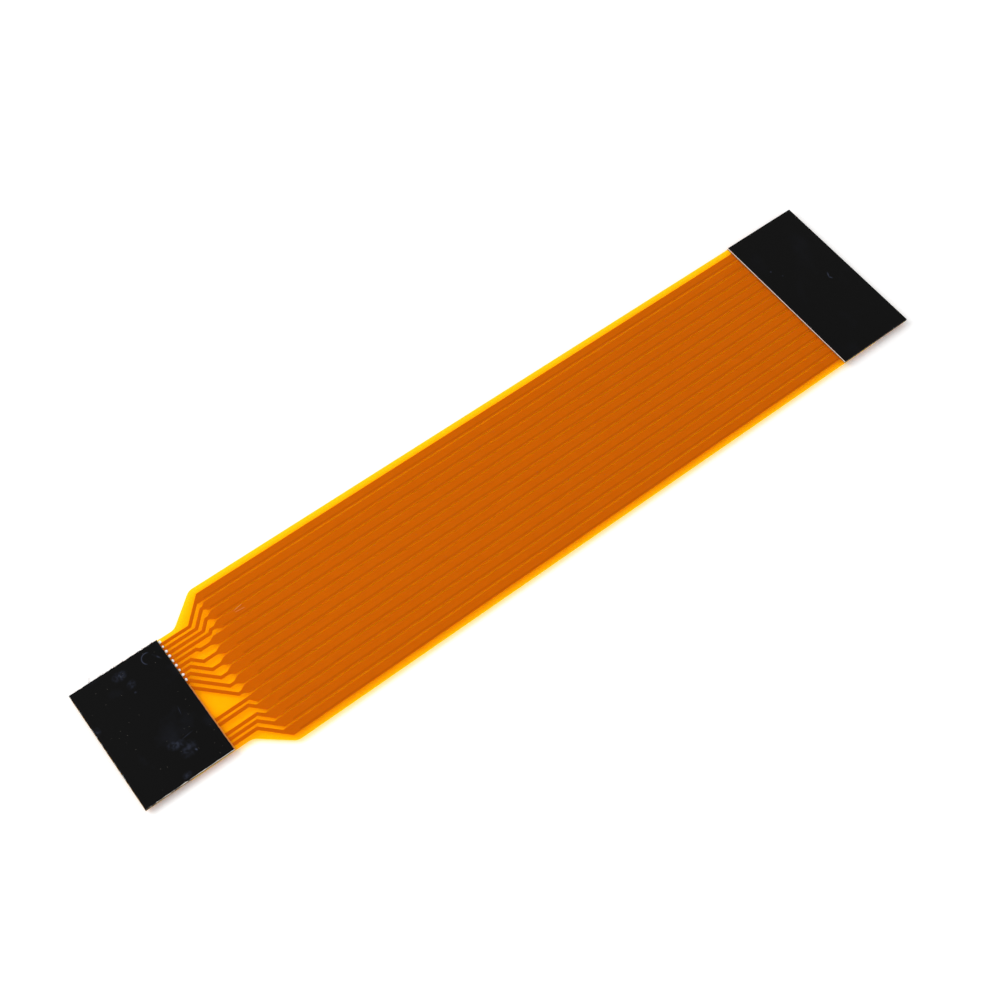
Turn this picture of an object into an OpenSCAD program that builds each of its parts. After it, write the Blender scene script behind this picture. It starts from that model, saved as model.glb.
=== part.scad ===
// Flat flex cable: a flexible printed circuit that carries 15 lines from a 22-way connector
// with contacts 0.5 mm apart to a 15-way connector with contacts 1 mm apart.
//
// It is a laminate, built up from the face it rests on: a coverlay film, etched copper
// conductors, a base film, and at each end a stiffener on a layer of adhesive. The coverlay
// stops short of both ends, so that the copper is bare there as contact fingers.
//
// Sizes are in millimetres. X runs along the cable from the narrow end to the wide end, Y across
// it and Z up through the layers. The origin is under the middle of the cable, on the face it
// rests on. Lines and contacts are counted from the +Y edge, and a length along the cable that
// is called x is counted from the narrow end.

/* [Overall] */
// Length from the narrow end to the wide end
cable_length = 80; // [50:1:200]

/* [Wide end] */
// Distance between neighbouring contacts at the wide end, and between lines in the body
wide_pitch = 1; // [0.8:0.1:1.5]
// Bare gap between neighbouring contact fingers at the wide end
wide_finger_gap = 0.3; // [0.15:0.05:0.5]
// Length of bare contact fingers at the wide end
wide_contact_length = 4; // [2:0.5:7]
// Length of the wide stiffener
wide_stiffener_length = 8; // [5:0.5:15]

/* [Narrow end] */
// Number of contacts at the narrow end
narrow_ways = 22; // [22:1:28]
// Distance between neighbouring contacts at the narrow end
narrow_pitch = 0.5; // [0.4:0.05:0.65]
// Bare gap between neighbouring contact fingers at the narrow end
narrow_finger_gap = 0.15; // [0.1:0.01:0.2]
// Length of bare contact fingers at the narrow end
narrow_contact_length = 4; // [2:0.5:5]
// Length of the narrow stiffener
narrow_stiffener_length = 8; // [5:0.5:9]

/* [Neck and shoulders] */
// Length of the neck, from the narrow end to the shoulders
neck_length = 9.6; // [8:0.1:20]
// Length of the shoulders, in which the neck widens into the body
shoulder_length = 2.75; // [1.5:0.05:8]
// Radius of the four shoulder corners
shoulder_r = 1; // [0.2:0.1:2]

/* [Conductors] */
// Etched gap between neighbouring lines in the body
body_gap = 0.15; // [0.1:0.01:0.3]
// Etched gap between neighbouring lines in the neck
neck_gap = 0.2; // [0.1:0.01:0.25]
// Distance along the cable from one line's jog to the next one's
jog_step = 0.325; // [0.25:0.025:0.5]
// Length over which a flared line widens from its neck width to its body width
flare_length = 0.7; // [0.3:0.05:1.5]
// Length over which a line changes to its finger's width
finger_taper = 0.3; // [0.1:0.05:0.6]
// Length of each finger and spare contact that the coverlay laps
finger_lap = 0.5; // [0.3:0.1:1]

/* [Layers] */
// Thickness of the coverlay under the conductors
coverlay_t = 0.05; // [0.025:0.005:0.1]
// Thickness of the copper
copper_t = 0.035; // [0.012:0.001:0.07]
// Thickness of the base film
base_film_t = 0.025; // [0.012:0.001:0.1]
// Thickness of the adhesive under each stiffener
stiffener_adhesive_t = 0.036; // [0.02:0.001:0.1]
// Thickness of the stiffeners
stiffener_t = 0.2; // [0.1:0.01:0.5]
// Clearance round each conductor and between layers, which keeps them solids of their own
layer_gap = 0.002; // [0.001:0.001:0.004]

/* [Hidden] */
// The narrow contact that each line of the wide end goes to, from line 1
narrow_contact = [1, 2, 3, 4, 5, 6, 7, 8, 9, 10, 17, 18, 20, 21, 22];
wide_ways = len(narrow_contact);
// The narrow contacts that no line goes to
spare_contacts = [for (n = [1 : narrow_ways]) if (len(search(n, narrow_contact)) == 0) n];

// The lines fan out by a jog at 45 degrees each. A line that moves towards +Y jogs a jog_step
// after its +Y neighbour, and one that moves towards -Y after its -Y neighbour, but for these,
// which are set by where they start past the neck: line 1, and [line, start] of the rest.
first_jog = 1.15;
set_jogs = [[5, 0.5], [10, -1.6], [12, 1.25], [15, 0.75]];

// Lines that flare smoothly to their body width, and where the flares end past the neck, as
// [first line, last line, end]. Other lines run straight into it.
flares = [[2, 4, 3.3], [5, 6, 2.3], [7, 10, 2.05]];

// A cable is one pitch wider than its row of contacts from first centre to last
body_half = (wide_ways + 1) * wide_pitch / 2;
neck_half = (narrow_ways + 1) * narrow_pitch / 2;
shoulder_end = neck_length + shoulder_length;
coverlay_start = narrow_contact_length;
coverlay_end = cable_length - wide_contact_length;

copper_z = coverlay_t + layer_gap;
base_film_z = copper_z + copper_t + layer_gap;
stiffener_adhesive_z = base_film_z + base_film_t + layer_gap;
stiffener_z = stiffener_adhesive_z + stiffener_adhesive_t + layer_gap;

body_trace = wide_pitch - body_gap;
neck_trace = narrow_pitch - neck_gap;
wide_finger = wide_pitch - wide_finger_gap;
narrow_finger = narrow_pitch - narrow_finger_gap;
// How far each edge of a line steps outwards between the neck and the body
edge_step = (body_trace - neck_trace) / 2;

// Flat faces in each shoulder corner, and in each side of a flare
corner_steps = 6;
flare_steps = 6;

function two_digits(n) = n < 10 ? str("0", n) : str(n);
function conductor_name(line) = str("conductor_", two_digits(line));
function spare_name(contact) = str("spare_contact_", two_digits(contact));

// Plane geometry
function unit(v) = norm(v) > 0 ? v / norm(v) : [1, 0];
function left_of(v) = [-v[1], v[0]];
function reversed(list) = [for (i = [len(list) - 1 : -1 : 0]) list[i]];
function bearing(v) = atan2(v[1], v[0]);
function turn(from, to) = let (d = to - from) d > 180 ? d - 360 : d < -180 ? d + 360 : d;

// Arc of radius r that replaces the corner at b on the way from a to c
function round_corner(a, b, c, r) =
    let (
        u = unit(a - b),
        v = unit(c - b),
        half_angle = acos(u * v) / 2,
        middle = b + unit(u + v) * r / sin(half_angle),
        from = bearing(b + u * r / tan(half_angle) - middle),
        to = bearing(b + v * r / tan(half_angle) - middle),
        sweep = turn(from, to)
    )
    [
        for (i = [0 : corner_steps])
            let (angle = from + sweep * i / corner_steps) middle + r * [cos(angle), sin(angle)]
    ];

// Upper edge of the films from x_start to x_end: neck, rounded shoulder and body
function upper_edge(x_start, x_end) =
    let (
        start = [x_start, neck_half],
        neck_end = [neck_length, neck_half],
        body_start = [shoulder_end, body_half],
        end = [x_end, body_half]
    )
    concat(
        [start],
        round_corner(start, neck_end, body_start, shoulder_r),
        round_corner(neck_end, body_start, end, shoulder_r),
        [end]
    );

// Where the edges of two strips meet: one ends and one starts at p, n_1 and n_2 are their unit
// normals, and h_1 and h_2 how far their edges are from p
function edge_corner(p, n_1, n_2, h_1, h_2) =
    let (c = n_1 * n_2)
    c > 0.999 ? p + h_2 * n_2 : p + ((h_1 - c * h_2) * n_1 + (h_2 - c * h_1) * n_2) / (1 - c * c);

// One side of a course: its +Y side (side = 1) or its -Y side (side = -1), moved out by grow.
// A course is a list of [x, y, width before the point, width after it].
function course_side(course, side, grow) =
    let (points = [for (p = course) [p[0], p[1]]], last = len(points) - 1)
    [
        for (i = [0 : last])
            let (
                before = max(i, 1),
                after = min(i, last - 1),
                n_1 = left_of(unit(points[before] - points[before - 1])),
                n_2 = left_of(unit(points[after + 1] - points[after]))
            )
            edge_corner(
                points[i],
                n_1,
                n_2,
                side * (course[i][2] / 2 + grow),
                side * (course[i][3] / 2 + grow)
            )
    ];

// Where contacts and lines lie across the cable
function wide_y(line) = ((wide_ways + 1) / 2 - line) * wide_pitch;
function narrow_y(contact) = ((narrow_ways + 1) / 2 - contact) * narrow_pitch;
function neck_y(line) = narrow_y(narrow_contact[line - 1]);
function jog_length(line) = abs(wide_y(line) - neck_y(line));

function moves_up(line) = wide_y(line) > neck_y(line);

// Where a line's jog starts and ends, past the end of the neck
function jog_start(line) =
    let (set = [for (jog = set_jogs) if (jog[0] == line) jog[1]])
    moves_up(line)
        ? (line == 1 ? first_jog : jog_start(line - 1) + jog_step)
        : (len(set) > 0 ? set[0] : jog_start(line + 1) + jog_step);
function jog_end(line) = jog_start(line) + jog_length(line);

// Where a line's flare starts and ends past the neck. It starts past the mitre of the jog, and
// keeps at least half its length.
function flare_set(line) = [for (f = flares) if (line >= f[0] && line <= f[1]) f[2]];
function flare_start(line) =
    max(flare_set(line)[0] - flare_length, jog_end(line) + neck_trace / 4);
function flare_end(line) = max(flare_set(line)[0], flare_start(line) + flare_length / 2);
function flare_width(t) = neck_trace + (body_trace - neck_trace) * (1 - cos(180 * t)) / 2;

// A line's way from its jog's start to its body width, with x from the end of the neck
function fan_out(line) =
    let (start = [jog_start(line), neck_y(line), neck_trace, neck_trace])
    len(flare_set(line)) > 0 ? concat([start], flared(line))
    : jog_length(line) > edge_step ? [start, [jog_end(line), wide_y(line), neck_trace, body_trace]]
    : [start, [jog_end(line) + edge_step, wide_y(line), body_trace, body_trace]];
function flared(line) =
    concat(
        [[jog_end(line), wide_y(line), neck_trace, neck_trace]],
        [
            for (i = [0 : flare_steps])
                let (
                    t = i / flare_steps,
                    x = flare_start(line) + t * (flare_end(line) - flare_start(line)),
                    w = flare_width(t)
                )
                [x, wide_y(line), w, w]
        ]
    );

// A line's course from the narrow end to the wide end
function line_course(line) =
    let (
        narrow_lap_end = narrow_contact_length + finger_lap,
        wide_lap_start = cable_length - wide_contact_length - finger_lap
    )
    concat(
        [
            [0, neck_y(line), narrow_finger, narrow_finger],
            [narrow_lap_end, neck_y(line), narrow_finger, narrow_finger],
            [narrow_lap_end + finger_taper, neck_y(line), neck_trace, neck_trace],
        ],
        [for (p = fan_out(line)) [neck_length + p[0], p[1], p[2], p[3]]],
        [
            [wide_lap_start - finger_taper, wide_y(line), body_trace, body_trace],
            [wide_lap_start, wide_y(line), wide_finger, wide_finger],
            [cable_length, wide_y(line), wide_finger, wide_finger],
        ]
    );

// A sheet from z up, t thick, of a flat shape drawn from the narrow end
module sheet(z, t) {
    translate([-cable_length / 2, 0, z])
        linear_extrude(t)
            children();
}

// Outline of a film from x_start to x_end
module film_outline(x_start, x_end) {
    upper = upper_edge(x_start, x_end);
    polygon(concat(upper, [for (p = reversed(upper)) [p[0], -p[1]]]));
}

// Outline of a line, wider all round by grow
module line_outline(line, grow = 0) {
    course = line_course(line);
    polygon(concat(course_side(course, 1, grow), reversed(course_side(course, -1, grow))));
}

// Outline of a spare contact, wider all round by grow
module spare_outline(contact, grow = 0) {
    translate([0, narrow_y(contact) - narrow_finger / 2 - grow])
        square([narrow_contact_length + finger_lap + grow, narrow_finger + 2 * grow]);
}

// Film that carries the conductors on its underside and the stiffeners on top
module base_film() {
    color("orange")
        sheet(base_film_z, base_film_t)
            film_outline(0, cable_length);
}

// Film over the conductors' underside. Its adhesive fills the space between them, so each
// conductor lies in a channel of its own.
module coverlay() {
    color("goldenrod")
        difference() {
            sheet(0, copper_z + copper_t)
                film_outline(coverlay_start, coverlay_end);
            for (line = [1 : wide_ways])
                sheet(coverlay_t, copper_t + 2 * layer_gap)
                    line_outline(line, layer_gap);
            for (contact = spare_contacts)
                sheet(coverlay_t, copper_t + 2 * layer_gap)
                    spare_outline(contact, layer_gap);
        }
}

// One etched line of copper, with a contact finger at each end
module conductor(line) {
    color("chocolate")
        sheet(copper_z, copper_t)
            line_outline(line);
}

// A contact finger that fills its place in the narrow row and has no line
module spare_contact(contact) {
    color("chocolate")
        sheet(copper_z, copper_t)
            spare_outline(contact);
}

// Board that backs an end, so that it can be pushed into its connector
module narrow_stiffener() {
    color([0.08, 0.08, 0.08])
        sheet(stiffener_z, stiffener_t)
            narrow_backing();
}

module wide_stiffener() {
    color([0.08, 0.08, 0.08])
        sheet(stiffener_z, stiffener_t)
            wide_backing();
}

module narrow_stiffener_adhesive() {
    color("khaki")
        sheet(stiffener_adhesive_z, stiffener_adhesive_t)
            narrow_backing();
}

module wide_stiffener_adhesive() {
    color("khaki")
        sheet(stiffener_adhesive_z, stiffener_adhesive_t)
            wide_backing();
}

// The area that each stiffener and its adhesive cover
module narrow_backing() {
    translate([0, -neck_half])
        square([narrow_stiffener_length, 2 * neck_half]);
}

module wide_backing() {
    translate([cable_length - wide_stiffener_length, -body_half])
        square([wide_stiffener_length, 2 * body_half]);
}

base_film();
coverlay();
narrow_stiffener();
wide_stiffener();
narrow_stiffener_adhesive();
wide_stiffener_adhesive();
for (line = [1 : wide_ways])
    conductor(line);
for (contact = spare_contacts)
    spare_contact(contact);
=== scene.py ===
"""Flat flex cable: the visual model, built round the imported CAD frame.

The copper lines are built again with the sloped edges that etching leaves, the base film with the
relief that it gets when it is pressed over them, and the two stiffeners with the cut edges of
glass-epoxy board. The coverlay, the spare contacts and the bonding sheets are dressed as they are.
"""

import logging
import math
from dataclasses import dataclass
from enum import Enum

import bmesh
import bpy
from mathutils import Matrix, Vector, noise
from mathutils.geometry import delaunay_2d_cdt


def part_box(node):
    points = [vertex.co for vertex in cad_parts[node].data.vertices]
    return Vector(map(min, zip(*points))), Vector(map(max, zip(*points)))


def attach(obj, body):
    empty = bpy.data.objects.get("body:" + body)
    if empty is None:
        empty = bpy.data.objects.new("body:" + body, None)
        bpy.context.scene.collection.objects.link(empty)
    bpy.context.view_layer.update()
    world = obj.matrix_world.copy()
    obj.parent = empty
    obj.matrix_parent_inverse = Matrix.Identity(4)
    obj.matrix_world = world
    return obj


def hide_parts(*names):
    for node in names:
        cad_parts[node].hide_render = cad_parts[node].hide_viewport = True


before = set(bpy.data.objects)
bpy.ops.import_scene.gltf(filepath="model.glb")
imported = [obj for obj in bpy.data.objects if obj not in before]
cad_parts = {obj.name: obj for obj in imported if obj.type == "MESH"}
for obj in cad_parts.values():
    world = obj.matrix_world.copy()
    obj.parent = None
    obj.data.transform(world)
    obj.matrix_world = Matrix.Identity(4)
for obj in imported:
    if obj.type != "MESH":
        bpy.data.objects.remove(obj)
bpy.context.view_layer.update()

MM = 0.001
# Corners of a CAD mesh nearer than this are one corner, in metres
WELD = 1e-7
BODY = "root"
log = logging.getLogger("cable")

Colour = tuple[float, float, float, float]
Socket = bpy.types.NodeSocket
Tree = bpy.types.NodeTree
Loop = list[Vector]


def linear(hex_colour: str) -> Colour:
    """Turns an sRGB hex colour to linear light.

    Args:
        hex_colour: Six hex digits after a hash.

    Returns:
        Red, green and blue in linear light, and an alpha of 1.
    """
    parts = [int(hex_colour[i : i + 2], 16) / 255 for i in (1, 3, 5)]
    return (*((c / 12.92 if c <= 0.04045 else ((c + 0.055) / 1.055) ** 2.4) for c in parts), 1.0)


def add(tree: Tree, kind: str, inputs: dict | None = None, **settings: object) -> bpy.types.Node:
    """Adds a node with its settings and links.

    Args:
        tree: The node tree that gets the node.
        kind: The node's type.
        inputs: A value or an output socket for each input, by name or number.
        **settings: The node's own settings.

    Returns:
        The new node.
    """
    node = tree.nodes.new(kind)
    for key, value in settings.items():
        setattr(node, key, value)
    for key, value in (inputs or {}).items():
        if isinstance(value, bpy.types.NodeSocket):
            tree.links.new(value, node.inputs[key])
        else:
            node.inputs[key].default_value = value
    return node


@dataclass(frozen=True)
class Finish:
    """A surface finish, which makes its own material."""

    name: str

    def shade(self, tree: Tree, place: Socket) -> Socket:
        """Builds the finish's shader; each finish has its own."""
        raise NotImplementedError

    def material(self) -> bpy.types.Material:
        """Makes the finish's material.

        Returns:
            The material, new each time.
        """
        material = bpy.data.materials.new(self.name)
        material.use_nodes = True
        tree = material.node_tree
        tree.nodes.clear()
        place = add(tree, "ShaderNodeTexCoord").outputs["Object"]
        add(tree, "ShaderNodeOutputMaterial", {"Surface": self.shade(tree, place)})
        return material


@dataclass(frozen=True)
class PolyimideFilm(Finish):
    """Cast polyimide film: clear amber, with a soft gloss and a haze of its own colour.

    What it gives the eye: white paper behind it turns deep yellow, and copper deep orange. The
    haze is added to the clear film, so it isn't energy-conserving, and it and the low specular
    level are fitted values, not constants of the real film.
    """

    paper_behind: str = "#DDB412"
    haze: str = "#450300"
    gloss_roughness: float = 0.3
    specular: float = 0.02
    relief: float = 0.15

    def shade(self, tree: Tree, place: Socket) -> Socket:
        """Adds a haze and a gloss to a tinted clear film.

        Args:
            tree: The material's node tree.
            place: The Object coordinates.

        Returns:
            The shader.
        """
        # Light crosses four faces of the film on its way to what is behind it and back
        tint = [max(c, 1e-4) ** 0.25 for c in linear(self.paper_behind)[:3]]
        mottle = add(
            tree, "ShaderNodeTexNoise", {"Vector": place, "Scale": 1 / (1.2 * MM), "Detail": 3.0}
        ).outputs["Fac"]
        colour = add(
            tree,
            "ShaderNodeMix",
            {0: mottle, 6: (*tint, 1.0), 7: (tint[0] * 0.995, tint[1] * 0.985, tint[2], 1.0)},
            data_type="RGBA",
        ).outputs[2]
        clear = add(tree, "ShaderNodeBsdfTransparent", {"Color": colour}).outputs[0]
        dimples = add(
            tree, "ShaderNodeTexNoise", {"Vector": place, "Scale": 1 / (0.5 * MM), "Detail": 2.0}
        ).outputs["Fac"]
        bump = add(
            tree,
            "ShaderNodeBump",
            {"Height": dimples, "Strength": self.relief, "Distance": 0.01 * MM},
        ).outputs[0]
        body = add(
            tree,
            "ShaderNodeBsdfPrincipled",
            {
                "Base Color": linear(self.haze),
                "Roughness": self.gloss_roughness,
                "Specular IOR Level": self.specular,
                "Normal": bump,
            },
        ).outputs[0]
        return add(tree, "ShaderNodeAddShader", {0: clear, 1: body}).outputs[0]


@dataclass(frozen=True)
class RolledCopper(Finish):
    """Rolled copper foil, etched, with bond treatment on its faces and gold on its fingers.

    What it gives the eye: a matt red-brown under the film, and bright pale gold where it is bare.
    The treated faces are made as a matt non-metal, with shade painted on one edge of each line.
    """

    copper: str = "#D0883A"
    gold: str = "#E7C27A"
    plated_from: float = 36 * MM
    pitch: float = 1.0 * MM
    # Where the painted edge shade lies past each gap, its half width and how dark it gets
    painted_shade_offset: float = 0.22 * MM
    painted_shade_half_width: float = 0.13 * MM
    painted_shade_depth: float = 0.8
    straight_from: float = -27 * MM

    def painted_edge_shade(self, tree: Tree, place: Socket) -> Socket:
        """Paints shade on one edge of each straight line, the one that slopes away from the lamp.

        The painted shade lies at a fixed place across the cable, so it doesn't follow another lamp.
        It starts at once where the lines' straight part does.

        Args:
            tree: The material's node tree.
            place: The Object coordinates.

        Returns:
            The painted shade: a grey to multiply the copper's colour by.
        """
        axes = add(tree, "ShaderNodeSeparateXYZ", {0: place}).outputs
        # The gaps lie half a pitch off the middle of the cable, a whole number of times over
        moved = add(
            tree,
            "ShaderNodeMath",
            {0: axes["Y"], 1: self.pitch / 2 + self.painted_shade_offset},
            operation="SUBTRACT",
        ).outputs[0]
        off = add(
            tree, "ShaderNodeMath", {0: moved, 1: self.pitch}, operation="PINGPONG"
        ).outputs[0]
        turned = add(
            tree, "ShaderNodeMath", {0: off, 1: self.pitch / 2}, operation="PINGPONG"
        ).outputs[0]
        painted_shade = add(
            tree,
            "ShaderNodeMapRange",
            {0: turned, 1: 0.0, 2: self.painted_shade_half_width, 3: self.painted_shade_depth, 4: 1.0},
            interpolation_type="SMOOTHSTEP",
        ).outputs[0]
        straight = add(
            tree, "ShaderNodeMath", {0: axes["X"], 1: self.straight_from}, operation="GREATER_THAN"
        ).outputs[0]
        return add(tree, "ShaderNodeMix", {0: straight, 2: 1.0, 3: painted_shade}).outputs[0]

    def shade(self, tree: Tree, place: Socket) -> Socket:
        """Mixes matt copper along the cable with plated fingers at its ends.

        Args:
            tree: The material's node tree.
            place: The Object coordinates.

        Returns:
            The shader.
        """
        # Rolling marks, 0.1 mm wide, run along the cable; real ones are finer than can be seen
        along = add(
            tree, "ShaderNodeMapping", {"Vector": place, "Scale": (0.04, 1.0, 1.0)}
        ).outputs[0]
        rolled = add(
            tree, "ShaderNodeTexNoise", {"Vector": along, "Scale": 1 / (0.1 * MM), "Detail": 2.0}
        ).outputs["Fac"]
        cloudy = add(
            tree, "ShaderNodeTexNoise", {"Vector": place, "Scale": 1 / (0.8 * MM), "Detail": 3.0}
        ).outputs["Fac"]
        marks = add(tree, "ShaderNodeMath", {0: rolled, 1: cloudy}, operation="MULTIPLY").outputs[0]
        base = linear(self.copper)
        copper = add(
            tree,
            "ShaderNodeMix",
            {
                0: marks,
                6: (base[0] * 1.06, base[1] * 1.08, base[2], 1.0),
                7: (base[0] * 0.9, base[1] * 0.82, base[2] * 0.8, 1.0),
            },
            data_type="RGBA",
        ).outputs[2]
        # The copper's colour times the painted edge shade
        copper_with_painted_shade = add(
            tree,
            "ShaderNodeVectorMath",
            {0: copper, "Scale": self.painted_edge_shade(tree, place)},
            operation="SCALE",
        ).outputs[0]
        matt = add(
            tree,
            "ShaderNodeBsdfPrincipled",
            {"Base Color": copper_with_painted_shade, "Roughness": 0.6, "Specular IOR Level": 0.2},
        ).outputs[0]
        bump = add(
            tree, "ShaderNodeBump", {"Height": rolled, "Strength": 0.2, "Distance": 0.002 * MM}
        ).outputs[0]
        plated = add(
            tree,
            "ShaderNodeBsdfPrincipled",
            {"Base Color": linear(self.gold), "Metallic": 1.0, "Roughness": 0.25, "Normal": bump},
        ).outputs[0]
        x = add(tree, "ShaderNodeSeparateXYZ", {0: place}).outputs["X"]
        out = add(tree, "ShaderNodeMath", {0: x}, operation="ABSOLUTE").outputs[0]
        bare = add(
            tree, "ShaderNodeMath", {0: out, 1: self.plated_from}, operation="GREATER_THAN"
        ).outputs[0]
        return add(tree, "ShaderNodeMixShader", {0: bare, 1: matt, 2: plated}).outputs[0]


@dataclass(frozen=True)
class Mark:
    """A handling mark: a smudge or a scratch, or half a ring where it is an arc.

    Sizes are in millimetres, from the middle of the cable, and the turn is in degrees.
    """

    x: float
    y: float
    half_length: float
    half_width: float
    turn: float = 0.0
    strength: float = 0.3
    arc: bool = False
    solid: bool = False

    def share(self, tree: Tree, place: Socket, patchy: Socket) -> Socket:
        """Says how much of the mark shows at each place.

        Args:
            tree: The material's node tree.
            place: The Object coordinates.
            patchy: Noise that breaks a smudge up.

        Returns:
            The mark's share, from 0 to its strength.
        """
        within = add(
            tree,
            "ShaderNodeMapping",
            {
                "Vector": place,
                "Location": (self.x * MM, self.y * MM, 0.0),
                "Rotation": (0.0, 0.0, math.radians(self.turn)),
                "Scale": (self.half_length * MM, self.half_width * MM, 1.0),
            },
            vector_type="TEXTURE",
        ).outputs[0]
        out = add(tree, "ShaderNodeVectorMath", {0: within}, operation="LENGTH").outputs["Value"]
        if self.arc:
            off = add(tree, "ShaderNodeMath", {0: out, 1: 1.0}, operation="SUBTRACT").outputs[0]
            off = add(tree, "ShaderNodeMath", {0: off}, operation="ABSOLUTE").outputs[0]
            shown = add(
                tree, "ShaderNodeMapRange", {0: off, 1: 0.0, 2: 0.14, 3: self.strength, 4: 0.0}
            ).outputs[0]
            along = add(tree, "ShaderNodeSeparateXYZ", {0: within}).outputs["X"]
            half = add(
                tree, "ShaderNodeMapRange", {0: along, 1: -0.1, 2: 0.4, 3: 0.0, 4: 1.0}
            ).outputs[0]
            return add(tree, "ShaderNodeMath", {0: shown, 1: half}, operation="MULTIPLY").outputs[0]
        shown = add(
            tree, "ShaderNodeMapRange", {0: out, 1: 0.2, 2: 1.0, 3: self.strength, 4: 0.0}
        ).outputs[0]
        if self.solid:
            return shown
        return add(tree, "ShaderNodeMath", {0: shown, 1: patchy}, operation="MULTIPLY").outputs[0]


@dataclass(frozen=True)
class BlackBoard(Finish):
    """Black glass-epoxy board, pressed: near-black, with a low sheen and a faint weave.

    What it gives the eye: a deep even black that shows handling marks as grey-blue smears.
    """

    black: str = "#070707"
    smear: str = "#3A3F50"
    smears: float = 0.1
    roughness: float = 0.42
    specular: float = 0.05
    marks: tuple[Mark, ...] = ()

    def shade(self, tree: Tree, place: Socket) -> Socket:
        """Lays smears over black board.

        Args:
            tree: The material's node tree.
            place: The Object coordinates.

        Returns:
            The shader.
        """
        patches = add(
            tree, "ShaderNodeTexNoise", {"Vector": place, "Scale": 1 / (3 * MM), "Detail": 5.0}
        ).outputs["Fac"]
        share = add(
            tree,
            "ShaderNodeMapRange",
            {0: patches, 1: 0.56, 2: 0.75, 3: 0.0, 4: self.smears},
        ).outputs[0]
        grain = add(
            tree, "ShaderNodeTexNoise", {"Vector": place, "Scale": 1 / (0.3 * MM), "Detail": 4.0}
        ).outputs["Fac"]
        patchy = add(
            tree, "ShaderNodeMapRange", {0: grain, 1: 0.42, 2: 0.62, 3: 0.15, 4: 1.0}
        ).outputs[0]
        for mark in self.marks:
            shown = mark.share(tree, place, patchy)
            share = add(
                tree, "ShaderNodeMath", {0: share, 1: shown}, operation="MAXIMUM"
            ).outputs[0]
        colour = add(
            tree,
            "ShaderNodeMix",
            {0: share, 6: linear(self.black), 7: linear(self.smear)},
            data_type="RGBA",
        ).outputs[2]
        weave = add(
            tree, "ShaderNodeTexNoise", {"Vector": place, "Scale": 1 / (0.12 * MM), "Detail": 2.0}
        ).outputs["Fac"]
        bump = add(
            tree, "ShaderNodeBump", {"Height": weave, "Strength": 0.25, "Distance": 0.01 * MM}
        ).outputs[0]
        return add(
            tree,
            "ShaderNodeBsdfPrincipled",
            {
                "Base Color": colour,
                "Roughness": self.roughness,
                "Specular IOR Level": self.specular,
                "Normal": bump,
            },
        ).outputs[0]


@dataclass(frozen=True)
class CutEdge(Finish):
    """Sawn edge of glass-epoxy board: pale ends of glass fibre in black resin.

    What it gives the eye: a thin light line along the board's edge, broken where resin is left.
    """

    pale: str = "#D9D4C8"
    resin: str = "#1C1B1A"
    pale_share: float = 0.6
    run: float = 0.5 * MM

    def shade(self, tree: Tree, place: Socket) -> Socket:
        """Breaks the pale fibre ends up with runs of dark resin.

        Args:
            tree: The material's node tree.
            place: The Object coordinates.

        Returns:
            The shader.
        """
        runs = add(
            tree, "ShaderNodeTexNoise", {"Vector": place, "Scale": 1 / self.run, "Detail": 3.0}
        ).outputs["Fac"]
        edge = 0.5 + (0.5 - self.pale_share) * 0.5
        share = add(
            tree, "ShaderNodeMapRange", {0: runs, 1: edge - 0.04, 2: edge + 0.04, 3: 0.0, 4: 1.0}
        ).outputs[0]
        colour = add(
            tree,
            "ShaderNodeMix",
            {0: share, 6: linear(self.resin), 7: linear(self.pale)},
            data_type="RGBA",
        ).outputs[2]
        return add(
            tree, "ShaderNodeBsdfPrincipled", {"Base Color": colour, "Roughness": 0.7}
        ).outputs[0]


@dataclass(frozen=True)
class Plain(Finish):
    """Squeezed-out resin, torn fibre or dust: one colour with a faint unevenness."""

    colour: str = "#FFFFFF"
    roughness: float = 0.3
    spread: float = 0.06
    grain: float = 0.4 * MM
    specular: float = 0.5

    def shade(self, tree: Tree, place: Socket) -> Socket:
        """Varies the colour a little over the surface.

        Args:
            tree: The material's node tree.
            place: The Object coordinates.

        Returns:
            The shader.
        """
        base = linear(self.colour)
        uneven = add(
            tree, "ShaderNodeTexNoise", {"Vector": place, "Scale": 1 / self.grain, "Detail": 2.0}
        ).outputs["Fac"]
        colour = add(
            tree,
            "ShaderNodeMix",
            {0: uneven, 6: base, 7: (*(c * (1 - self.spread) for c in base[:3]), 1.0)},
            data_type="RGBA",
        ).outputs[2]
        return add(
            tree,
            "ShaderNodeBsdfPrincipled",
            {
                "Base Color": colour,
                "Roughness": self.roughness,
                "Specular IOR Level": self.specular,
            },
        ).outputs[0]


def background_rays(tree: Tree) -> Socket:
    """Tells the rays that see the background from the rays that light the cable.

    Args:
        tree: The node tree to add to.

    Returns:
        One for a camera, glossy or transmission ray, zero for any other.
    """
    path = add(tree, "ShaderNodeLightPath").outputs
    seen = path["Is Camera Ray"]
    for kind in ("Is Glossy Ray", "Is Transmission Ray"):
        seen = add(
            tree, "ShaderNodeMath", {0: seen, 1: path[kind]}, operation="MAXIMUM"
        ).outputs[0]
    return seen


@dataclass(frozen=True)
class WhiteCard(Finish):
    """Matt white card that is seen brighter than it lights, so that only deep shadows mark it.

    What it gives the eye: plain white all round, with a thin soft shadow beside the cable.
    """

    # More than white, because the lamps alone leave the card a little grey
    shown: float = 1.2

    def shade(self, tree: Tree, place: Socket) -> Socket:
        """Gives the card more white as it is seen than as it lights the cable.

        Args:
            tree: The material's node tree.
            place: The Object coordinates, which plain card doesn't need.

        Returns:
            The shader.
        """
        seen = background_rays(tree)
        white = add(
            tree,
            "ShaderNodeMix",
            {0: seen, 6: (1.0, 1.0, 1.0, 1.0), 7: (self.shown, self.shown, self.shown, 1.0)},
            data_type="RGBA",
        ).outputs[2]
        return add(tree, "ShaderNodeBsdfDiffuse", {"Color": white}).outputs[0]


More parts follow.
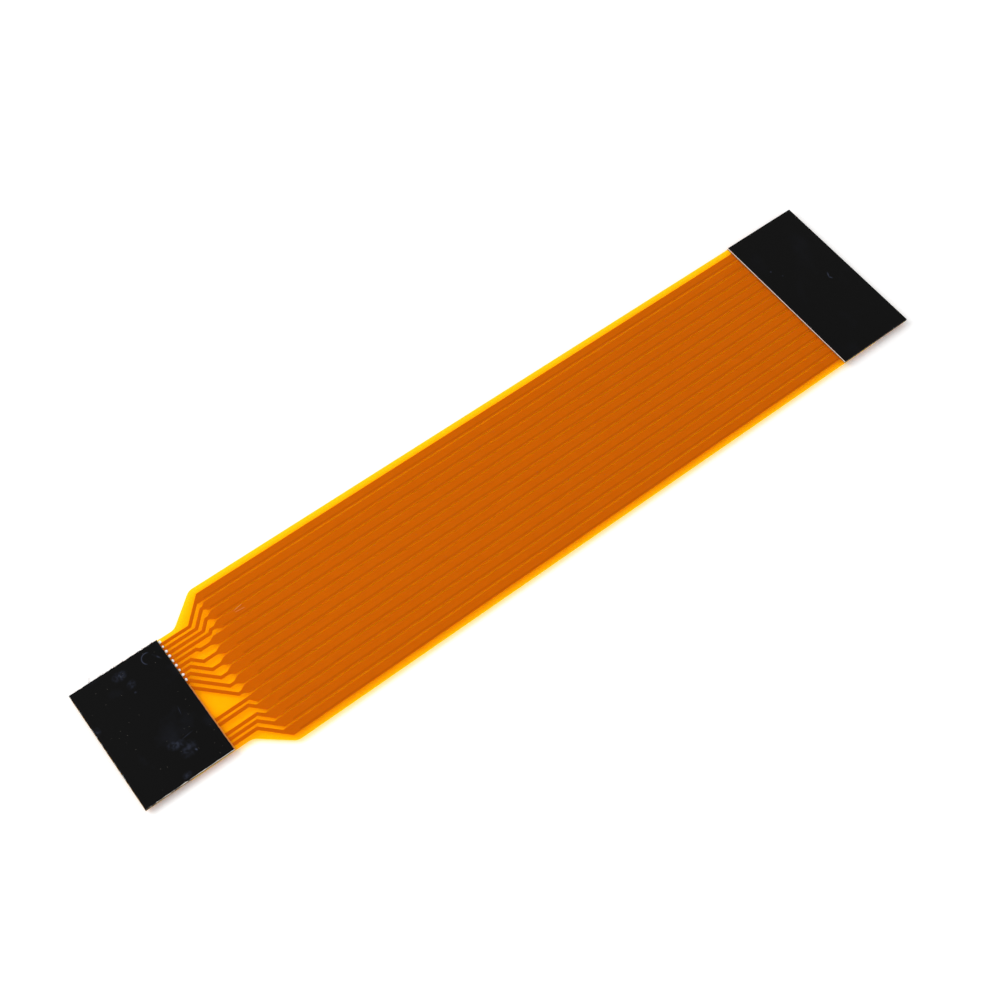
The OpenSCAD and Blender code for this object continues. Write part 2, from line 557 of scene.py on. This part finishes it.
def finished(name: str, mesh: bpy.types.Mesh, replaced: tuple[str, ...] = ()) -> None:
    """Puts a finished mesh in the scene as a piece of the cable.

    Args:
        name: The piece's name.
        mesh: Its mesh, in place, with its materials.
        replaced: The CAD nodes that it stands for.
    """
    piece = bpy.data.objects.new(name, mesh)
    bpy.context.scene.collection.objects.link(piece)
    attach(piece, BODY)
    if replaced:
        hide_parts(*replaced)
    log.info("%s: %d faces", name, len(mesh.polygons))


def dress(node: str, material: bpy.types.Material) -> None:
    """Gives a CAD node its material.

    Args:
        node: The CAD node's name.
        material: The material.
    """
    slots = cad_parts[node].data.materials
    slots.clear()
    slots.append(material)


def top_outline(node: str) -> Loop:
    """Reads the outline of a CAD node's top face.

    Args:
        node: The CAD node's name.

    Returns:
        The outline's points in order, counterclockwise, in metres.
    """
    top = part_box(node)[1].z
    work = bmesh.new()
    work.from_mesh(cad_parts[node].data)
    bmesh.ops.remove_doubles(work, verts=work.verts, dist=WELD)
    upper = {f for f in work.faces if all(abs(v.co.z - top) < WELD for v in f.verts)}
    onward = {}
    # In the mesh's own order, because a set of faces has another order in each run
    for face in work.faces:
        for side in face.loops:
            if face in upper and side.link_loop_radial_next.face not in upper:
                onward[side.vert.index] = (side.link_loop_next.vert.index, side.vert.co.copy())
    first = at = next(iter(onward))
    outline = []
    while not outline or at != first:
        following, co = onward[at]
        outline.append(Vector((co.x, co.y)))
        at = following
    work.free()
    return outline


def grown(loop: Loop, by: float) -> Loop:
    """Moves a counterclockwise outline outwards.

    Args:
        loop: The outline.
        by: How far each side moves.

    Returns:
        The wider outline, with as many points.
    """
    out = []
    for before, at, after in zip(loop[-1:] + loop[:-1], loop, loop[1:] + loop[:1]):
        n_1 = Vector(((at - before).y, -(at - before).x)).normalized()
        n_2 = Vector(((after - at).y, -(after - at).x)).normalized()
        out.append(at + (n_1 + n_2) * by / (1 + n_1.dot(n_2)))
    return out


def filled(loop: Loop) -> list[list[int]]:
    """Fills an outline with triangles.

    Args:
        loop: The outline, counterclockwise.

    Returns:
        The triangles' corners, as places in the outline.
    """
    around = list(range(len(loop)))
    edges = list(zip(around, around[1:] + around[:1]))
    _, _, hull, sources, _, inside = delaunay_2d_cdt(
        [p / MM for p in loop], edges, [around], 0, 1e-6, True
    )
    return [[sources[i][0] for i in face] for face, rims in zip(hull, inside) if rims]


def cut_off(loop: Loop, x: float, side: int) -> Loop:
    """Cuts an outline off square across the cable.

    Args:
        loop: The outline.
        x: Where it is cut.
        side: 1 to keep what lies past x, and -1 to keep what lies before it.

    Returns:
        The outline that is left.
    """
    out = []
    for a, b in zip(loop, loop[1:] + loop[:1]):
        if side * (a.x - x) >= 0:
            out.append(a)
        if (a.x - x) * (b.x - x) < 0:
            out.append(a.lerp(b, (x - a.x) / (b.x - a.x)))
    return out


@dataclass
class Laminate:
    """The two films and the copper between them."""

    valley: float = 0.018 * MM
    shoulder: float = 0.11 * MM
    fall: float = 0.024 * MM
    # Where the shoulder turns steeper, as shares of its fall and its width
    knee_fall: float = 0.2
    knee_width: float = 0.6
    plain_strip: float = 0.22 * MM
    lines: int = 15

    def line_names(self) -> list[str]:
        """Names of the CAD nodes of the lines, in order."""
        return [f"conductor_{n:02d}" for n in range(1, self.lines + 1)]

    def build(self) -> None:
        """Builds and dresses the laminate."""
        film = PolyimideFilm("polyimide_base_film").material()
        cover = PolyimideFilm(
            "polyimide_coverlay", paper_behind="#C4D812", haze="#8B5700"
        ).material()
        copper = RolledCopper("rolled_copper").material()
        finished("embossed_base_film", self.embossed_film(film), ("base_film",))
        dress("coverlay", cover)
        for node in self.line_names():
            finished(f"etched_{node}", self.etched_line(node, copper), (node,))
        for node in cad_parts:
            if node.startswith("spare_contact"):
                dress(node, copper)

    def etched_line(self, node: str, material: bpy.types.Material) -> bpy.types.Mesh:
        """Builds a line with the sloping shoulders that etching leaves.

        Args:
            node: The CAD node of the line.
            material: Its material.

        Returns:
            A closed mesh in the space of the CAD node.
        """
        low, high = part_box(node)
        outline = top_outline(node)
        levels = (
            (low.z, 0.0),
            (high.z - self.fall, 0.0),
            (high.z - self.fall * self.knee_fall, self.shoulder * self.knee_width),
            (high.z, self.shoulder),
        )
        work = bmesh.new()
        loops = [self.narrowed(outline, by) for _, by in levels]
        rings = [
            [work.verts.new((p.x, p.y, z)) for p in loop] for (z, _), loop in zip(levels, loops)
        ]
        for lower, upper in zip(rings, rings[1:]):
            for i in range(len(outline)):
                j = (i + 1) % len(outline)
                work.faces.new((lower[i], lower[j], upper[j], upper[i]))
        for corners in filled(loops[-1]):
            work.faces.new([rings[-1][i] for i in corners])
        for corners in filled(loops[0]):
            work.faces.new([rings[0][i] for i in reversed(corners)])
        mesh = bpy.data.meshes.new(node)
        work.to_mesh(mesh)
        work.free()
        mesh.materials.append(material)
        return mesh

    @staticmethod
    def narrowed(outline: Loop, by: float) -> Loop:
        """Moves a line's long sides inwards and leaves its two ends where they are.

        Args:
            outline: The line's outline.
            by: How far the long sides move.

        Returns:
            The narrower outline, with as many points.
        """
        first, last = min(p.x for p in outline), max(p.x for p in outline)
        return [
            Vector((min(max(p.x, first), last), p.y)) if first < q.x < last else Vector((q.x, p.y))
            for p, q in zip(grown(outline, -by), outline)
        ]

    def embossed_film(self, material: bpy.types.Material) -> bpy.types.Mesh:
        """Builds the base film, sunk in between the lines and beside them.

        Args:
            material: Its material.

        Returns:
            A closed mesh. Its top is level over the copper and near the stiffeners.
        """
        low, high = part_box("base_film")
        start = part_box("narrow_stiffener")[1].x + self.plain_strip
        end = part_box("wide_stiffener")[0].x - self.plain_strip
        points: list[Vector] = []
        heights: list[float] = []
        edges: list[tuple[int, int]] = []

        def lay(loop: Loop, height: float) -> None:
            """Adds a closed line of points and its edges to the film's top.

            Args:
                loop: The points, in order.
                height: How high they lie.
            """
            first = len(points)
            points.extend(loop)
            heights.extend([height] * len(loop))
            edges.extend((first + i, first + (i + 1) % len(loop)) for i in range(len(loop)))

        outline = top_outline("base_film")
        sunk = high.z - self.valley
        lay(cut_off(outline, start, -1), high.z)
        lay(cut_off(outline, end, 1), high.z)
        ramp = self.shoulder
        lay(cut_off(cut_off(outline, start + ramp, 1), end - ramp, -1), sunk)
        for node in self.line_names():
            foot = top_outline(node)
            level = self.narrowed(foot, self.shoulder)
            lay(cut_off(cut_off(level, start, 1), end, -1), high.z)
            lay(cut_off(cut_off(foot, start + ramp, 1), end - ramp, -1), sunk)
        rim = list(range(len(points), len(points) + len(outline)))
        points.extend(outline)
        heights.extend(sunk if start < p.x < end else high.z for p in outline)
        verts, _, hull, from_verts, _, inside = delaunay_2d_cdt(
            [p / MM for p in points], edges, [rim], 0, 1e-5, True
        )
        faces = [face for face, rims in zip(hull, inside) if rims]
        work = bmesh.new()
        tops, bottoms = [], []
        for v, sources in zip(verts, from_verts):
            height = max((heights[i] for i in sources), default=high.z)
            tops.append(work.verts.new((v.x * MM, v.y * MM, height)))
            bottoms.append(work.verts.new((v.x * MM, v.y * MM, low.z)))
        ways = {(a, b) for face in faces for a, b in zip(face, face[1:] + face[:1])}
        for face in faces:
            work.faces.new([tops[i] for i in face])
            work.faces.new([bottoms[i] for i in reversed(face)])
        for a, b in ways:
            if (b, a) not in ways:
                work.faces.new((bottoms[a], bottoms[b], tops[b], tops[a]))
        bmesh.ops.recalc_face_normals(work, faces=work.faces)
        mesh = bpy.data.meshes.new("embossed_base_film")
        work.to_mesh(mesh)
        work.free()
        mesh.materials.append(material)
        return mesh


class End(Enum):
    """The two ends of the cable."""

    NARROW = "narrow"
    WIDE = "wide"


@dataclass
class Stiffener:
    """A board that backs one end, with the layer of adhesive under it."""

    end: End
    raggedness: float
    faces: tuple[CutEdge, CutEdge, CutEdge, CutEdge]
    board: BlackBoard
    bevel: float = 0.02 * MM
    # Dark foot of each sawn edge, as a share of its height: resin and painted shade
    resin_and_painted_shade_band: float = 0.35
    step: float = 0.12 * MM
    ragged_run: float = 0.25 * MM

    def build(self) -> None:
        """Builds and dresses the board and its adhesive."""
        node = f"{self.end.value}_stiffener"
        finished(f"{self.end.value}_board", self.board_mesh(node), (node,))
        glue = Plain("cured_adhesive", colour="#B58A3C", roughness=0.3)
        dress(f"{node}_adhesive", glue.material())

    def board_mesh(self, node: str) -> bpy.types.Mesh:
        """Builds the board with uneven sawn edges, pale above, with resin and painted shade below.

        Args:
            node: The CAD node that it stands for.

        Returns:
            A closed mesh: black faces, and an edge finish for each side.
        """
        low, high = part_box(node)
        corners = [(low.x, low.y), (high.x, low.y), (high.x, high.y), (low.x, high.y)]
        work = bmesh.new()
        levels = (
            (low.z, 0.0),
            (low.z + self.resin_and_painted_shade_band * (high.z - low.z), 0.0),
            (high.z - self.bevel, 0.0),
            (high.z, self.bevel),
        )
        rings: list[list[bmesh.types.BMVert]] = [[] for _ in levels]
        sides = []
        for side, (a, b) in enumerate(zip(corners, corners[1:] + corners[:1])):
            a, b = Vector(a), Vector(b)
            inward = Vector(((a - b).y, (b - a).x)).normalized()
            count = max(2, round((b - a).length / self.step))
            for i in range(count):
                at = a.lerp(b, i / count)
                for level, (z, inset) in enumerate(levels):
                    rough = noise.noise(Vector((at.x, at.y, z)) / self.ragged_run) * 0.5 + 0.5
                    off = inset + self.raggedness * rough * (i > 0)
                    back = (
                        Vector((0, 0))
                        if i
                        else Vector(((b - a).x, (b - a).y)).normalized() * inset
                    )
                    place = at + inward * off + back
                    rings[level].append(work.verts.new((place.x, place.y, z)))
                sides.append(side)
        total = len(sides)
        for level in range(3):
            for i in range(total):
                j = (i + 1) % total
                face = work.faces.new(
                    (rings[level][i], rings[level][j], rings[level + 1][j], rings[level + 1][i])
                )
                # Foot: resin and painted shade; middle: the side's pale finish; top: the black
                # bevel
                face.material_index = (5, 1 + sides[i], 0)[level]
        work.faces.new(rings[3])
        work.faces.new(list(reversed(rings[0])))
        bmesh.ops.recalc_face_normals(work, faces=work.faces)
        mesh = bpy.data.meshes.new(f"{self.end.value}_board")
        work.to_mesh(mesh)
        work.free()
        mesh.materials.append(self.board.material())
        for face in (*self.faces, CutEdge("sawn_edge_resin_and_painted_shade", pale_share=0.05)):
            mesh.materials.append(face.material())
        return mesh


def grow_tree(tree: Tree, name: str, values: dict[str, object]) -> bpy.types.Mesh:
    """Runs a Geometry Nodes tree and keeps what it makes.

    Args:
        tree: The tree.
        name: The name of the mesh.
        values: The tree's inputs, by name.

    Returns:
        The result as a plain mesh.
    """
    holder = bpy.data.objects.new(name, bpy.data.meshes.new(name))
    bpy.context.scene.collection.objects.link(holder)
    modifier = holder.modifiers.new(name, "NODES")
    modifier.node_group = tree
    for item in tree.interface.items_tree:
        if item.in_out == "INPUT" and item.name in values:
            modifier[item.identifier] = values[item.name]
    evaluated = holder.evaluated_get(bpy.context.evaluated_depsgraph_get())
    mesh = bpy.data.meshes.new_from_object(evaluated)
    bpy.data.objects.remove(holder)
    mesh.name = name
    return mesh


@dataclass
class AdhesiveBeads:
    """Adhesive squeezed out by the narrow stiffener: beads painted white as glints, and a fillet
    past them.
    """

    count: int = 9
    pitch: float = 0.5 * MM
    first_y: float = 5.5 * MM
    radius: float = 0.1 * MM
    seed: int = 4
    fillet_width: float = 0.09 * MM
    fillet_height: float = 0.05 * MM
    fillet_end_gap: float = 0.05 * MM

    def build(self) -> None:
        """Builds the fillet and the row of beads."""
        self.build_fillet()
        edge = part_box("narrow_stiffener")[1].x
        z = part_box("base_film")[1].z
        # The beads' white stands in for the glints on clear adhesive: a painted highlight
        finish = Plain("adhesive_bead_with_painted_glint", roughness=0.35, spread=0.0)
        tree = self.tree(finish.material())
        mesh = grow_tree(
            tree,
            "adhesive_beads",
            {
                "Count": self.count,
                "Start": (edge + self.radius, self.first_y, z),
                "Pitch": self.pitch,
                "Radius": self.radius,
                "Seed": self.seed,
            },
        )
        finished("adhesive_beads", mesh)

    def build_fillet(self) -> None:
        """Builds the thin amber fillet along the rest of the edge."""
        low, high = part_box("narrow_stiffener")
        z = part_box("base_film")[1].z
        last_bead = self.first_y - (self.count - 1) * self.pitch
        ends = (low.y + self.fillet_end_gap, last_bead - self.pitch)
        corners = [
            (x, y, at)
            for y in ends
            for x, at in (
                (high.x, z),
                (high.x + self.fillet_width, z),
                (high.x, z + self.fillet_height),
            )
        ]
        mesh = bpy.data.meshes.new("adhesive_fillet")
        sides = [(0, 1, 2), (5, 4, 3), (0, 3, 4, 1), (1, 4, 5, 2), (2, 5, 3, 0)]
        mesh.from_pydata(corners, [], sides)
        mesh.materials.append(
            Plain("amber_adhesive_fillet", colour="#F0931E", roughness=0.25).material()
        )
        finished("adhesive_fillet", mesh)

    def tree(self, material: bpy.types.Material) -> Tree:
        """Makes the tree that sets a flattened ball in each valley.

        Args:
            material: The beads' material.

        Returns:
            The tree, with its sizes as inputs.
        """
        tree = bpy.data.node_groups.new("bead_row", "GeometryNodeTree")
        for name, kind in (
            ("Count", "NodeSocketInt"),
            ("Start", "NodeSocketVector"),
            ("Pitch", "NodeSocketFloat"),
            ("Radius", "NodeSocketFloat"),
            ("Seed", "NodeSocketInt"),
        ):
            tree.interface.new_socket(name, in_out="INPUT", socket_type=kind)
        tree.interface.new_socket("Geometry", in_out="OUTPUT", socket_type="NodeSocketGeometry")
        given = add(tree, "NodeGroupInput").outputs
        back = add(tree, "ShaderNodeMath", {0: given["Pitch"], 1: -1.0}, operation="MULTIPLY")
        step = add(tree, "ShaderNodeCombineXYZ", {"Y": back.outputs[0]}).outputs[0]
        row = add(
            tree,
            "GeometryNodeMeshLine",
            {"Count": given["Count"], "Start Location": given["Start"], "Offset": step},
        ).outputs[0]
        ball = add(tree, "GeometryNodeMeshIcoSphere", {"Radius": 1.0, "Subdivisions": 3}).outputs[0]
        least = add(tree, "ShaderNodeCombineXYZ", {"X": 0.9, "Y": 1.0, "Z": 0.5}).outputs[0]
        most = add(tree, "ShaderNodeCombineXYZ", {"X": 1.5, "Y": 1.5, "Z": 0.9}).outputs[0]
        vary = add(
            tree,
            "FunctionNodeRandomValue",
            {0: least, 1: most, "Seed": given["Seed"]},
            data_type="FLOAT_VECTOR",
        ).outputs[0]
        scale = add(
            tree, "ShaderNodeVectorMath", {0: vary, "Scale": given["Radius"]}, operation="SCALE"
        ).outputs[0]
        beads = add(
            tree, "GeometryNodeInstanceOnPoints", {"Points": row, "Instance": ball, "Scale": scale}
        ).outputs[0]
        solid = add(tree, "GeometryNodeRealizeInstances", {0: beads}).outputs[0]
        dressed = add(tree, "GeometryNodeSetMaterial", {"Geometry": solid, "Material": material})
        smooth = add(tree, "GeometryNodeSetShadeSmooth", {0: dressed.outputs[0]}).outputs[0]
        add(tree, "NodeGroupOutput", {0: smooth})
        return tree


class Bit(Enum):
    """The shapes of the small bits."""

    FIBRE = "fibre"
    SPECK = "speck"


@dataclass
class Scatter:
    """Small bits, scattered over a part of the cable: torn fibres or dust."""

    name: str
    bit: Bit
    finish: Finish
    slot: str
    count: int
    low: tuple[float, float, float]
    high: tuple[float, float, float]
    least: tuple[float, float, float]
    most: tuple[float, float, float]
    turn_least: tuple[float, float, float] = (0.0, 0.0, 0.0)
    turn_most: tuple[float, float, float] = (0.0, 0.0, 6.28)
    seed: int = 1

    def build(self) -> None:
        """Builds the bits."""
        values = {
            "Count": self.count,
            "Low": self.low,
            "High": self.high,
            "Least": self.least,
            "Most": self.most,
            "Turn Least": self.turn_least,
            "Turn Most": self.turn_most,
            "Seed": self.seed,
        }
        finished(self.name, grow_tree(self.tree(), self.name, values))

    def tree(self) -> Tree:
        """Makes the tree that throws the bits into a box.

        Returns:
            The tree, with its sizes as inputs.
        """
        tree = bpy.data.node_groups.new(f"{self.name}_scatter", "GeometryNodeTree")
        for name in ("Count", "Seed"):
            tree.interface.new_socket(name, in_out="INPUT", socket_type="NodeSocketInt")
        for name in ("Low", "High", "Least", "Most", "Turn Least", "Turn Most"):
            tree.interface.new_socket(name, in_out="INPUT", socket_type="NodeSocketVector")
        tree.interface.new_socket("Geometry", in_out="OUTPUT", socket_type="NodeSocketGeometry")
        given = add(tree, "NodeGroupInput").outputs
        row = add(tree, "GeometryNodeMeshLine", {"Count": given["Count"]}).outputs[0]

        def drawn(least: str, most: str, more: int) -> Socket:
            """Draws a random vector for each bit.

            Args:
                least: The input that holds the lowest values.
                most: The input that holds the highest values.
                more: What is added to the seed, so that no two draws are alike.

            Returns:
                The vectors.
            """
            seed = add(tree, "ShaderNodeMath", {0: given["Seed"], 1: float(more)}, operation="ADD")
            return add(
                tree,
                "FunctionNodeRandomValue",
                {0: given[least], 1: given[most], "Seed": seed.outputs[0]},
                data_type="FLOAT_VECTOR",
            ).outputs[0]

        strewn = add(
            tree, "GeometryNodeSetPosition", {"Geometry": row, "Position": drawn("Low", "High", 0)}
        ).outputs[0]
        if self.bit is Bit.FIBRE:
            rod = add(
                tree, "GeometryNodeMeshCylinder", {"Vertices": 5, "Radius": 1.0, "Depth": 1.0}
            ).outputs[0]
            shape = add(
                tree, "GeometryNodeTransform", {"Geometry": rod, "Translation": (0.0, 0.0, 0.5)}
            ).outputs[0]
        else:
            shape = add(
                tree, "GeometryNodeMeshIcoSphere", {"Radius": 1.0, "Subdivisions": 1}
            ).outputs[0]
        bits = add(
            tree,
            "GeometryNodeInstanceOnPoints",
            {
                "Points": strewn,
                "Instance": shape,
                "Rotation": drawn("Turn Least", "Turn Most", 11),
                "Scale": drawn("Least", "Most", 23),
            },
        ).outputs[0]
        solid = add(tree, "GeometryNodeRealizeInstances", {0: bits}).outputs[0]
        dressed = add(
            tree,
            "GeometryNodeSetMaterial",
            {"Geometry": solid, "Material": self.finish.material()},
        ).outputs[0]
        add(tree, "NodeGroupOutput", {0: dressed})
        return tree


@dataclass
class Studio:
    """The table, the lamps and the camera."""

    table_half: float = 1.5
    # The cable lies this far above the table, which widens its shadow
    table_drop: float = 0.33 * MM
    ambient: float = 0.7
    key: float = 0.34
    key_place: tuple[float, float, float] = (-0.155, 0.135, 0.2)
    key_size: float = 0.19
    camera_place: tuple[float, float, float] = (-0.04218, -0.04517, 0.1102)
    camera_turn: tuple[float, float, float] = (28.551, -2.314, -37.787)
    lens: float = 52.86

    def camera(self) -> None:
        """Sets the camera up."""
        data = bpy.data.cameras.new("camera")
        data.lens = self.lens
        data.sensor_width = 36.0
        data.clip_start, data.clip_end = 0.005, 10.0
        camera = bpy.data.objects.new("camera", data)
        camera.location = self.camera_place
        camera.rotation_euler = [math.radians(a) for a in self.camera_turn]
        bpy.context.scene.collection.objects.link(camera)
        bpy.context.scene.camera = camera

    def table(self) -> None:
        """Lays the table under the cable."""
        half, z = self.table_half, -self.table_drop
        mesh = bpy.data.meshes.new("table")
        mesh.from_pydata(
            [(-half, -half, z), (half, -half, z), (half, half, z), (-half, half, z)],
            [],
            [(0, 1, 2, 3)],
        )
        mesh.materials.append(WhiteCard("white_card").material())
        table = bpy.data.objects.new("table", mesh)
        bpy.context.scene.collection.objects.link(table)

    def light(self) -> None:
        """Hangs a soft lamp and fills in from all round."""
        scene = bpy.context.scene
        lamp = bpy.data.lights.new("soft_box", "AREA")
        lamp.shape = "DISK"
        lamp.size = self.key_size
        lamp.energy = self.key
        holder = bpy.data.objects.new("soft_box", lamp)
        holder.location = self.key_place
        holder.rotation_euler = Vector(self.key_place).to_track_quat("Z", "Y").to_euler()
        scene.collection.objects.link(holder)
        world = bpy.data.worlds.new("studio")
        world.use_nodes = True
        scene.world = world
        tree = world.node_tree
        tree.nodes.clear()
        seen = background_rays(tree)
        fill = add(
            tree, "ShaderNodeBackground", {"Color": (1, 1, 1, 1), "Strength": self.ambient}
        ).outputs[0]
        white = add(
            tree, "ShaderNodeBackground", {"Color": (1, 1, 1, 1), "Strength": 1.0}
        ).outputs[0]
        both = add(tree, "ShaderNodeMixShader", {0: seen, 1: fill, 2: white}).outputs[0]
        add(tree, "ShaderNodeOutputWorld", {"Surface": both})
        scene.view_settings.view_transform = "Standard"
        # Light passes up to eight faces of clear film on its way to the table and back
        scene.cycles.transparent_max_bounces = 32


def scatter_bits() -> None:
    """Strews the torn fibres along the narrow board's edges, and the dust."""
    low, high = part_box("narrow_stiffener")
    film_low, film_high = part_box("base_film")
    strand = Plain("torn_glass_fibre", colour="#2A2B2D", roughness=0.6, spread=0.3)
    lint = Plain("settled_dust", colour="#77726A", roughness=0.9, spread=0.3)
    thin, long = 0.008 * MM, 0.16 * MM
    Scatter(
        "edge_fibres",
        Bit.FIBRE,
        strand,
        "stiffener",
        70,
        (low.x + long, high.y - 0.05 * MM, low.z + 2 * thin),
        (high.x - long, high.y - 0.01 * MM, high.z - 2 * thin),
        (thin, thin, 0.3 * long),
        (thin * 1.5, thin * 1.5, long),
        (-2.0, -0.4, -0.9),
        (-1.6, 0.4, 0.9),
        7,
    ).build()
    Scatter(
        "stray_fibre",
        Bit.FIBRE,
        strand,
        "stiffener",
        2,
        (low.x + 1.8 * MM, high.y - 0.05 * MM, high.z - 0.03 * MM),
        (low.x + 2.0 * MM, high.y - 0.03 * MM, high.z - 2 * thin),
        (thin, thin, 0.45 * MM),
        (thin * 1.5, thin * 1.5, 0.6 * MM),
        (-1.75, 0.0, -0.5),
        (-1.6, 0.1, 0.6),
        3,
    ).build()
    Scatter(
        "board_dust",
        Bit.SPECK,
        lint,
        "adhesive",
        40,
        (low.x + 0.1 * MM, low.y + 0.1 * MM, high.z),
        (high.x - 0.1 * MM, high.y - 0.1 * MM, high.z),
        (0.01 * MM, 0.01 * MM, 0.004 * MM),
        (0.035 * MM, 0.02 * MM, 0.007 * MM),
    ).build()
    Scatter(
        "film_dust",
        Bit.SPECK,
        lint,
        "adhesive",
        45,
        (high.x + 0.5 * MM, film_low.y + 2.4 * MM, film_high.z),
        (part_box("wide_stiffener")[0].x - 0.5 * MM, film_high.y - 2.4 * MM, film_high.z),
        (0.015 * MM, 0.015 * MM, 0.004 * MM),
        (0.05 * MM, 0.03 * MM, 0.01 * MM),
        seed=5,
    ).build()
    Scatter(
        "film_lint",
        Bit.FIBRE,
        Plain("settled_lint", colour="#F0A860", roughness=0.8),
        "adhesive",
        2,
        (film_low.x + 14.2 * MM, film_low.y + 12.1 * MM, film_high.z),
        (film_low.x + 14.5 * MM, film_low.y + 12.3 * MM, film_high.z),
        (2 * thin, 2 * thin, 0.7 * MM),
        (2.5 * thin, 2.5 * thin, 1.2 * MM),
        (1.571, 0.0, 1.45),
        (1.571, 0.0, 1.75),
        2,
    ).build()


def main() -> None:
    """Builds the scene in order."""
    logging.basicConfig(level=logging.INFO, format="%(name)s: %(message)s")
    studio = Studio()
    studio.camera()
    Laminate().build()
    black = BlackBoard(
        "black_glass_epoxy",
        marks=(
            Mark(-33.4, 4.75, 0.5, 0.5, 147.0, 0.8, arc=True),
            Mark(-32.75, 4.5, 0.5, 0.1, -60.0, 0.5),
            Mark(-36.0, 4.75, 0.7, 0.5, 0.0, 0.5),
            Mark(-35.66, 2.84, 0.15, 0.12, 0.0, 1.0),
            Mark(-35.6, 3.6, 0.5, 0.4, 40.0, 0.35),
            Mark(-39.7, 1.8, 0.3, 0.45, 0.0, 0.4),
            Mark(-33.72, -0.49, 0.05, 0.5, -10.0, 0.35, solid=True),
            Mark(-34.32, -2.56, 0.65, 0.05, 6.0, 0.35, solid=True),
            Mark(-35.4, -2.75, 0.9, 0.5, -20.0, 0.5),
            Mark(-34.8, -3.6, 0.9, 0.7, 30.0, 0.4),
            Mark(-34.38, -3.97, 0.13, 0.16, 0.0, 1.0),
            Mark(-36.0, -5.3, 0.5, 0.3, 10.0, 0.45),
        ),
    )
    dark = CutEdge("sawn_edge_dark", pale_share=0.1)
    cream = CutEdge("sawn_edge_cream", pale="#FBF6EA", pale_share=0.66, run=0.6 * MM)
    # The narrow board's -X edge: pale fibre ends, whose bluish white is partly a painted reflection
    # of the white surroundings
    fibre_and_painted_reflection = CutEdge("sawn_edge_fibre_and_painted_reflection", pale="#C8D4D8", pale_share=0.7, run=0.3 * MM)
    silver = CutEdge("sawn_edge_silver", pale="#F6F6F4", pale_share=0.95, run=0.5 * MM)
    Stiffener(End.NARROW, 0.07 * MM, (cream, dark, dark, fibre_and_painted_reflection), black).build()
    smooth = BlackBoard(
        "black_glass_epoxy_clean",
        smears=0.03,
        marks=(
            Mark(37.6, 0.07, 0.09, 0.38, -26.0, 0.7, solid=True),
            Mark(37.57, -0.3, 0.26, 0.09, -58.0, 0.7, solid=True),
            Mark(33.4, 3.5, 0.1, 0.1, 0.0, 0.7, solid=True),
            Mark(34.0, 2.5, 0.07, 0.07, 0.0, 0.6, solid=True),
        ),
    )
    Stiffener(End.WIDE, 0.01 * MM, (dark, dark, dark, silver), smooth).build()
    AdhesiveBeads().build()
    scatter_bits()
    studio.table()
    studio.light()


if __name__ == "__main__":
    main()
